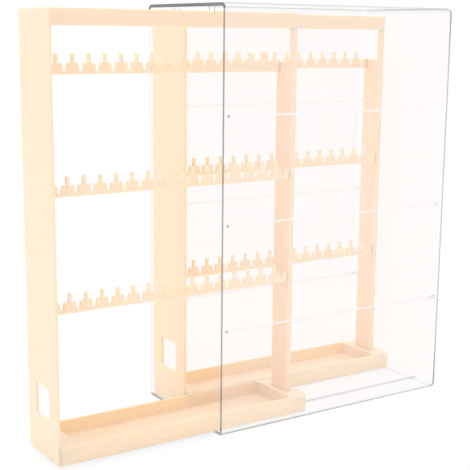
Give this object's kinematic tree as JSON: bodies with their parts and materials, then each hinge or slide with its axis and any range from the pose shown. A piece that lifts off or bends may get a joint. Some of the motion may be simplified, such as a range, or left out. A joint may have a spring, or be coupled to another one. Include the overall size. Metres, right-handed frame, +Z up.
{
  "type": "jewellery storage tower",
  "caption": "Upright clear jewellery case, open at the front, with slide-out racks side by side, each with hook rails for chains and earrings above a shallow tray.",
  "frame": {"origin": "middle of the case's footprint, on the table", "axes": "+Z up, +Y from the open front towards the back wall, +X towards the right rack as seen from the front"},
  "size_m": [0.089, 0.2787, 0.255],
  "materials": {
    "clear_case": "clear, polished moulding",
    "rack_plastic": "pale apricot, fine satin moulding"
  },
  "bodies": {
    "case": {"case": "clear_case"},
    "left_rack": {"left_rack_front_panel": "rack_plastic", "left_rack_top_rail": "rack_plastic", "left_rack_upper_hook_rail": "rack_plastic", "left_rack_middle_hook_rail": "rack_plastic", "left_rack_lower_hook_rail": "rack_plastic", "left_rack_rear_post": "rack_plastic", "left_rack_tray": "rack_plastic"},
    "right_rack": {"right_rack_front_panel": "rack_plastic", "right_rack_top_rail": "rack_plastic", "right_rack_upper_hook_rail": "rack_plastic", "right_rack_middle_hook_rail": "rack_plastic", "right_rack_lower_hook_rail": "rack_plastic", "right_rack_rear_post": "rack_plastic", "right_rack_tray": "rack_plastic"}
  },
  "joints": [
    {"name": "left_rack_slide", "type": "slide", "parent": "case", "child": "left_rack", "axis": [0, -1, 0], "range_m": [0, 0.14]},
    {"name": "right_rack_slide", "type": "slide", "parent": "case", "child": "right_rack", "axis": [0, -1, 0], "range_m": [-0.1037, 0.0363]}
  ]
}
